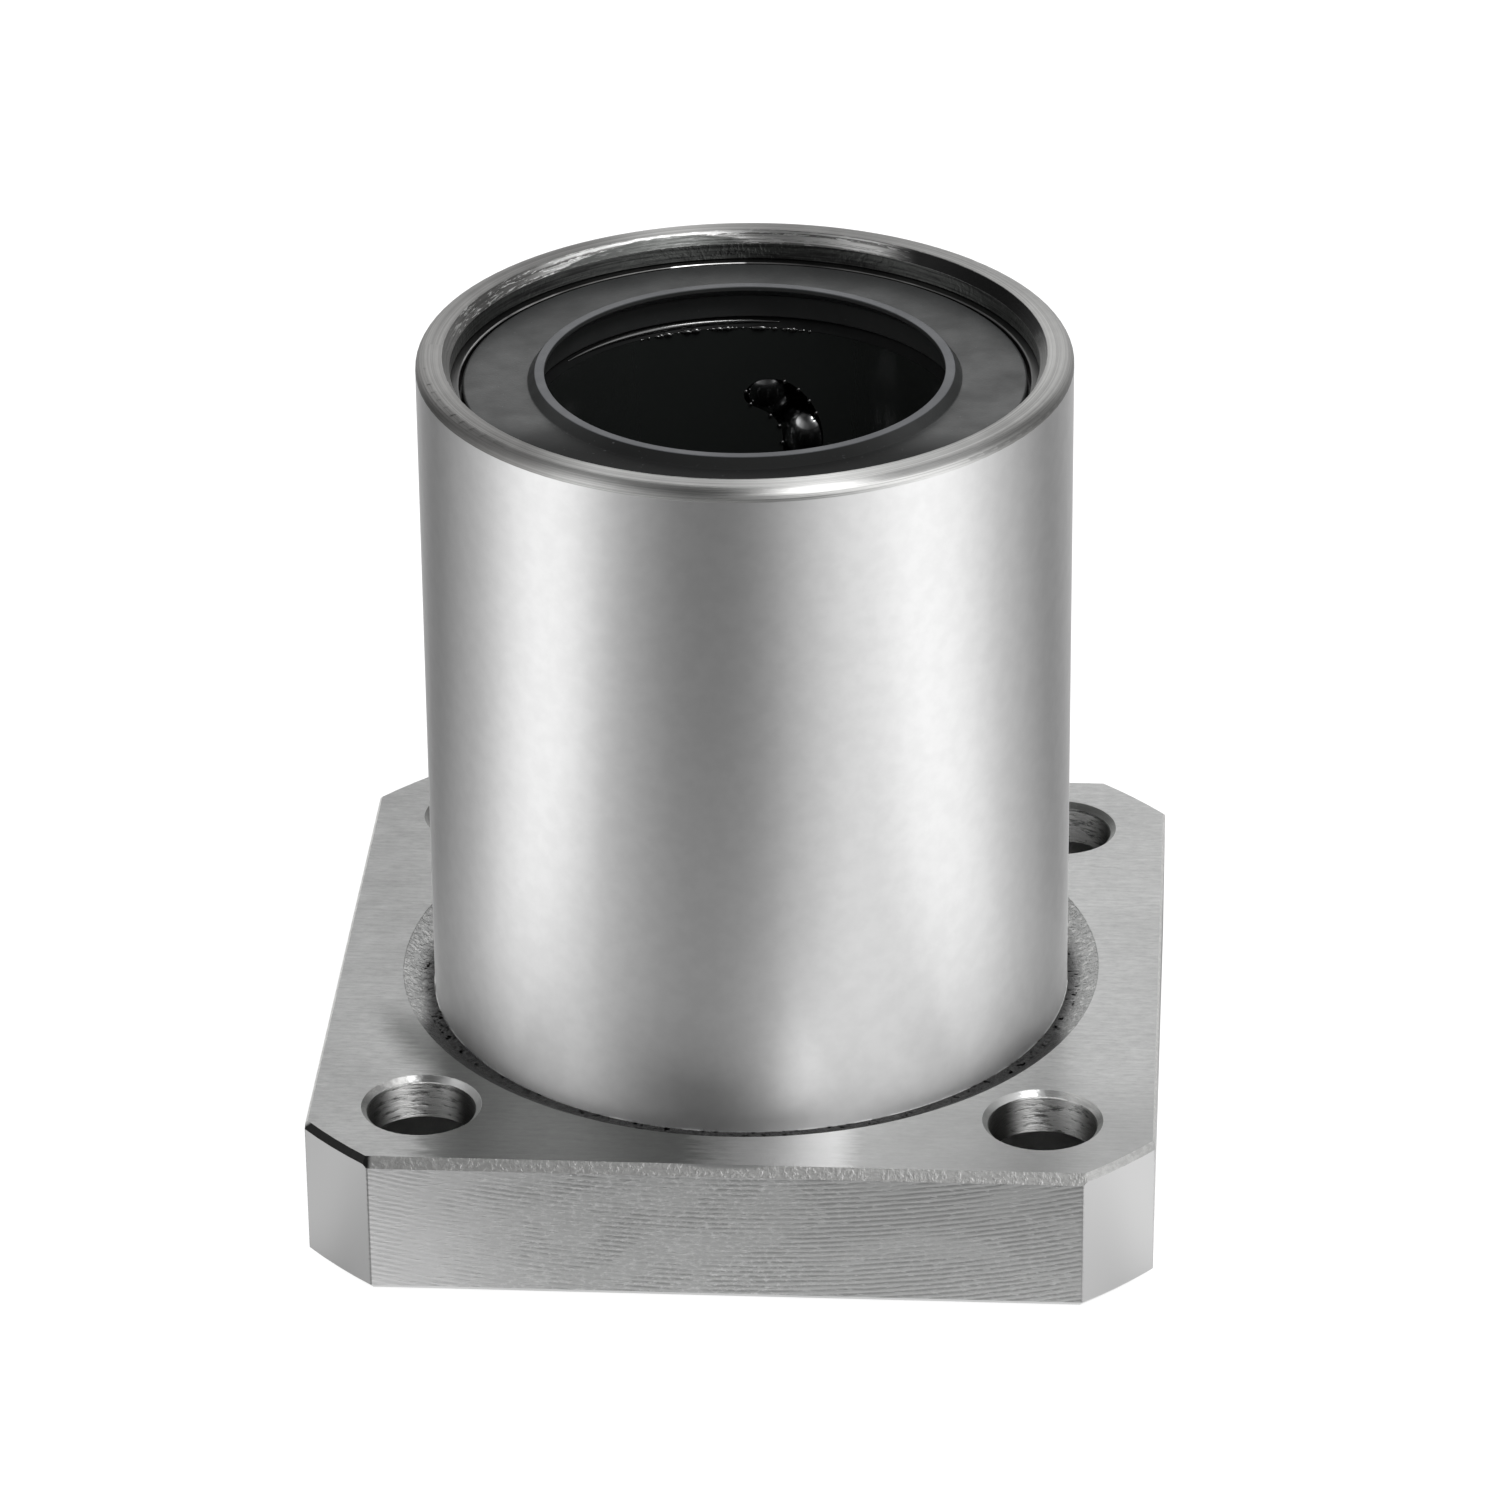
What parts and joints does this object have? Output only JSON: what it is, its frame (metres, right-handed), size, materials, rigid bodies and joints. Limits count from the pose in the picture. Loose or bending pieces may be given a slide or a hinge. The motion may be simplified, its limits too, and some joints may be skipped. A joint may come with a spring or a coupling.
{
  "type": "flanged linear bearing",
  "caption": "Linear ball bearing: a ground steel sleeve with a square bolted flange, a resin ball cage with recirculating ball circuits, and a rubber seal at each end.",
  "frame": {"origin": "centre of the flange's outer face, on the bore axis", "axes": "+Z along the bore axis from the flange to the free end, +X and +Y square to the flange's sides"},
  "size_m": [0.0414, 0.0414, 0.0412],
  "materials": {
    "ground_steel": "ground and turned",
    "retainer_resin": "glossy black, oiled",
    "seal_rubber": "matt dark grey",
    "ring_steel": "oiled spring steel",
    "ball_steel": "polished"
  },
  "bodies": {
    "outer_assembly": {"flanged_outer_cylinder": "ground_steel", "ball_retainer": "retainer_resin", "top_seal": "seal_rubber", "bottom_seal": "seal_rubber", "top_retaining_ring": "ring_steel", "bottom_retaining_ring": "ring_steel"},
    "circuit_1_load_balls": {"circuit_1_load_balls": "ball_steel"},
    "circuit_1_return_balls": {"circuit_1_return_balls": "ball_steel"},
    "circuit_1_upper_turn_balls": {"circuit_1_upper_turn_balls": "ball_steel"},
    "circuit_1_lower_turn_balls": {"circuit_1_lower_turn_balls": "ball_steel"},
    "circuit_2_load_balls": {"circuit_2_load_balls": "ball_steel"},
    "circuit_2_return_balls": {"circuit_2_return_balls": "ball_steel"},
    "circuit_2_upper_turn_balls": {"circuit_2_upper_turn_balls": "ball_steel"},
    "circuit_2_lower_turn_balls": {"circuit_2_lower_turn_balls": "ball_steel"},
    "circuit_3_load_balls": {"circuit_3_load_balls": "ball_steel"},
    "circuit_3_return_balls": {"circuit_3_return_balls": "ball_steel"},
    "circuit_3_upper_turn_balls": {"circuit_3_upper_turn_balls": "ball_steel"},
    "circuit_3_lower_turn_balls": {"circuit_3_lower_turn_balls": "ball_steel"},
    "circuit_4_load_balls": {"circuit_4_load_balls": "ball_steel"},
    "circuit_4_return_balls": {"circuit_4_return_balls": "ball_steel"},
    "circuit_4_upper_turn_balls": {"circuit_4_upper_turn_balls": "ball_steel"},
    "circuit_4_lower_turn_balls": {"circuit_4_lower_turn_balls": "ball_steel"},
    "circuit_5_load_balls": {"circuit_5_load_balls": "ball_steel"},
    "circuit_5_return_balls": {"circuit_5_return_balls": "ball_steel"},
    "circuit_5_upper_turn_balls": {"circuit_5_upper_turn_balls": "ball_steel"},
    "circuit_5_lower_turn_balls": {"circuit_5_lower_turn_balls": "ball_steel"}
  },
  "joints": [
    {"name": "circuit_1_load_run", "type": "slide", "parent": "outer_assembly", "child": "circuit_1_load_balls", "axis": [0, 0, -1], "range_m": [0, 0.0032]},
    {"name": "circuit_1_return_run", "type": "slide", "parent": "outer_assembly", "child": "circuit_1_return_balls", "axis": [0, 0, 1], "range_m": [0, 0.0032]},
    {"name": "circuit_1_upper_turn", "type": "hinge", "parent": "outer_assembly", "child": "circuit_1_upper_turn_balls", "pos_m": [0.00025, 0.01181, 0.0318], "axis": [0.2147, 0.9767, 0], "range_deg": [0, 90]},
    {"name": "circuit_1_lower_turn", "type": "hinge", "parent": "outer_assembly", "child": "circuit_1_lower_turn_balls", "pos_m": [0.00025, 0.01181, 0.0094], "axis": [0.2147, 0.9767, 0], "range_deg": [0, 90]},
    {"name": "circuit_2_load_run", "type": "slide", "parent": "outer_assembly", "child": "circuit_2_load_balls", "axis": [0, 0, -1], "range_m": [0, 0.0032]},
    {"name": "circuit_2_return_run", "type": "slide", "parent": "outer_assembly", "child": "circuit_2_return_balls", "axis": [0, 0, 1], "range_m": [0, 0.0032]},
    {"name": "circuit_2_upper_turn", "type": "hinge", "parent": "outer_assembly", "child": "circuit_2_upper_turn_balls", "pos_m": [-0.01116, 0.00388, 0.0318], "axis": [-0.8625, 0.506, 0], "range_deg": [0, 90]},
    {"name": "circuit_2_lower_turn", "type": "hinge", "parent": "outer_assembly", "child": "circuit_2_lower_turn_balls", "pos_m": [-0.01116, 0.00388, 0.0094], "axis": [-0.8625, 0.506, 0], "range_deg": [0, 90]},
    {"name": "circuit_3_load_run", "type": "slide", "parent": "outer_assembly", "child": "circuit_3_load_balls", "axis": [0, 0, -1], "range_m": [0, 0.0032]},
    {"name": "circuit_3_return_run", "type": "slide", "parent": "outer_assembly", "child": "circuit_3_return_balls", "axis": [0, 0, 1], "range_m": [0, 0.0032]},
    {"name": "circuit_3_upper_turn", "type": "hinge", "parent": "outer_assembly", "child": "circuit_3_upper_turn_balls", "pos_m": [-0.00714, -0.00941, 0.0318], "axis": [-0.7478, -0.664, 0], "range_deg": [0, 90]},
    {"name": "circuit_3_lower_turn", "type": "hinge", "parent": "outer_assembly", "child": "circuit_3_lower_turn_balls", "pos_m": [-0.00714, -0.00941, 0.0094], "axis": [-0.7478, -0.664, 0], "range_deg": [0, 90]},
    {"name": "circuit_4_load_run", "type": "slide", "parent": "outer_assembly", "child": "circuit_4_load_balls", "axis": [0, 0, -1], "range_m": [0, 0.0032]},
    {"name": "circuit_4_return_run", "type": "slide", "parent": "outer_assembly", "child": "circuit_4_return_balls", "axis": [0, 0, 1], "range_m": [0, 0.0032]},
    {"name": "circuit_4_upper_turn", "type": "hinge", "parent": "outer_assembly", "child": "circuit_4_upper_turn_balls", "pos_m": [0.00674, -0.0097, 0.0318], "axis": [0.4004, -0.9163, 0], "range_deg": [0, 90]},
    {"name": "circuit_4_lower_turn", "type": "hinge", "parent": "outer_assembly", "child": "circuit_4_lower_turn_balls", "pos_m": [0.00674, -0.0097, 0.0094], "axis": [0.4004, -0.9163, 0], "range_deg": [0, 90]},
    {"name": "circuit_5_load_run", "type": "slide", "parent": "outer_assembly", "child": "circuit_5_load_balls", "axis": [0, 0, -1], "range_m": [0, 0.0032]},
    {"name": "circuit_5_return_run", "type": "slide", "parent": "outer_assembly", "child": "circuit_5_return_balls", "axis": [0, 0, 1], "range_m": [0, 0.0032]},
    {"name": "circuit_5_upper_turn", "type": "hinge", "parent": "outer_assembly", "child": "circuit_5_upper_turn_balls", "pos_m": [0.01131, 0.00341, 0.0318], "axis": [0.9952, 0.0976, 0], "range_deg": [0, 90]},
    {"name": "circuit_5_lower_turn", "type": "hinge", "parent": "outer_assembly", "child": "circuit_5_lower_turn_balls", "pos_m": [0.01131, 0.00341, 0.0094], "axis": [0.9952, 0.0976, 0], "range_deg": [0, 90]}
  ],
  "couplings": [
    {"joint": "circuit_1_return_run", "follows": "circuit_1_load_run", "ratio": 1},
    {"joint": "circuit_1_upper_turn", "follows": "circuit_1_load_run", "rad_per_m": 490.87},
    {"joint": "circuit_1_lower_turn", "follows": "circuit_1_load_run", "rad_per_m": 490.87},
    {"joint": "circuit_2_return_run", "follows": "circuit_2_load_run", "ratio": 1},
    {"joint": "circuit_2_upper_turn", "follows": "circuit_2_load_run", "rad_per_m": 490.87},
    {"joint": "circuit_2_lower_turn", "follows": "circuit_2_load_run", "rad_per_m": 490.87},
    {"joint": "circuit_3_return_run", "follows": "circuit_3_load_run", "ratio": 1},
    {"joint": "circuit_3_upper_turn", "follows": "circuit_3_load_run", "rad_per_m": 490.87},
    {"joint": "circuit_3_lower_turn", "follows": "circuit_3_load_run", "rad_per_m": 490.87},
    {"joint": "circuit_4_return_run", "follows": "circuit_4_load_run", "ratio": 1},
    {"joint": "circuit_4_upper_turn", "follows": "circuit_4_load_run", "rad_per_m": 490.87},
    {"joint": "circuit_4_lower_turn", "follows": "circuit_4_load_run", "rad_per_m": 490.87},
    {"joint": "circuit_5_return_run", "follows": "circuit_5_load_run", "ratio": 1},
    {"joint": "circuit_5_upper_turn", "follows": "circuit_5_load_run", "rad_per_m": 490.87},
    {"joint": "circuit_5_lower_turn", "follows": "circuit_5_load_run", "rad_per_m": 490.87}
  ]
}
